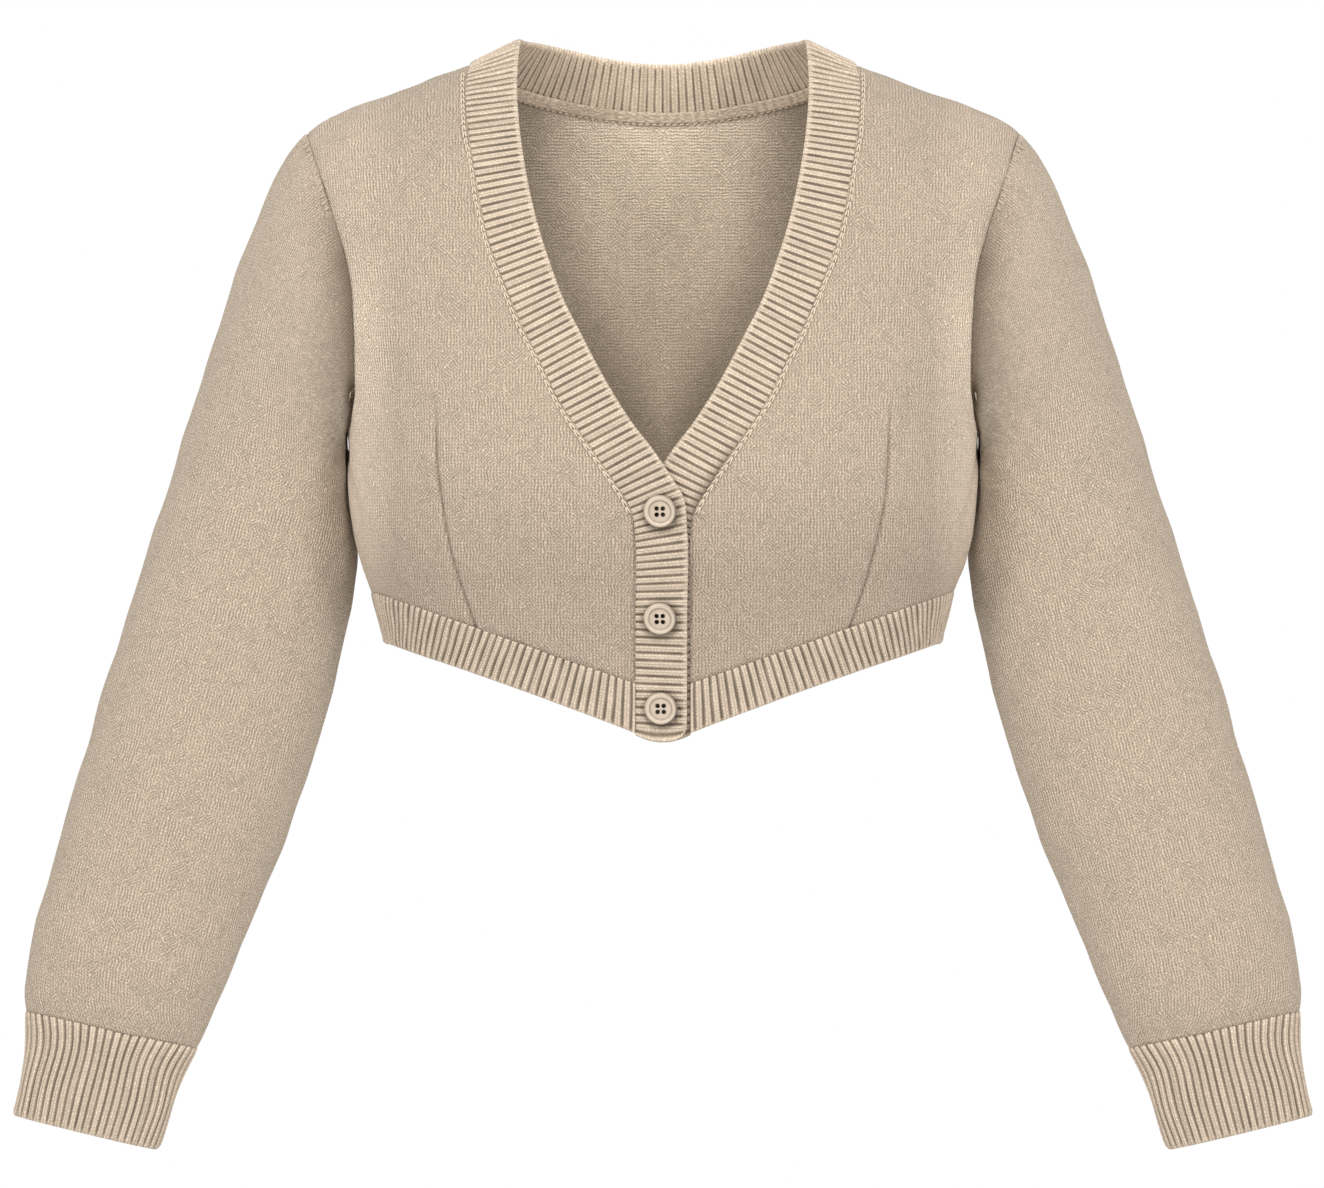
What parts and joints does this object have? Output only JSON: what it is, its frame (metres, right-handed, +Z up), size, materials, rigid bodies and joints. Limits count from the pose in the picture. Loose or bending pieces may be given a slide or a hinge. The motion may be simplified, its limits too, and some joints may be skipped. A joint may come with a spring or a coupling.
{
  "type": "cropped cardigan",
  "caption": "Cropped long-sleeved V-neck cardigan in fine knit, hollow as if worn, with ribbed neck band, placket, hem and cuffs, closed at the front by buttons",
  "frame": {"origin": "midpoint between the neck ends of the two shoulder seams, where the wearer's shoulders hold the garment", "axes": "+X toward the wearer's left, along the spread of the sleeves; -Y toward the front; +Z up"},
  "size_m": [0.715, 0.2245, 0.6105],
  "materials": {
    "plain_knit": "fine stockinette knit in heathered beige wool, matte",
    "rib_knit": "rib knit in the same heathered beige wool, matte",
    "neck_tape": "narrow knitted tape in the same beige, matte",
    "button_horn": "moulded four-hole button in pale beige, softly polished"
  },
  "bodies": {
    "root": {"back": "plain_knit", "front_right": "plain_knit", "front_left": "plain_knit", "sleeve_right": "plain_knit", "sleeve_left": "plain_knit", "cuff_right": "rib_knit", "cuff_left": "rib_knit", "hem_back": "rib_knit", "hem_front_right": "rib_knit", "hem_front_left": "rib_knit", "neck_and_front_band": "rib_knit", "back_neck_tape": "neck_tape", "button_1": "button_horn", "button_2": "button_horn", "button_3": "button_horn"}
  },
  "joints": []
}
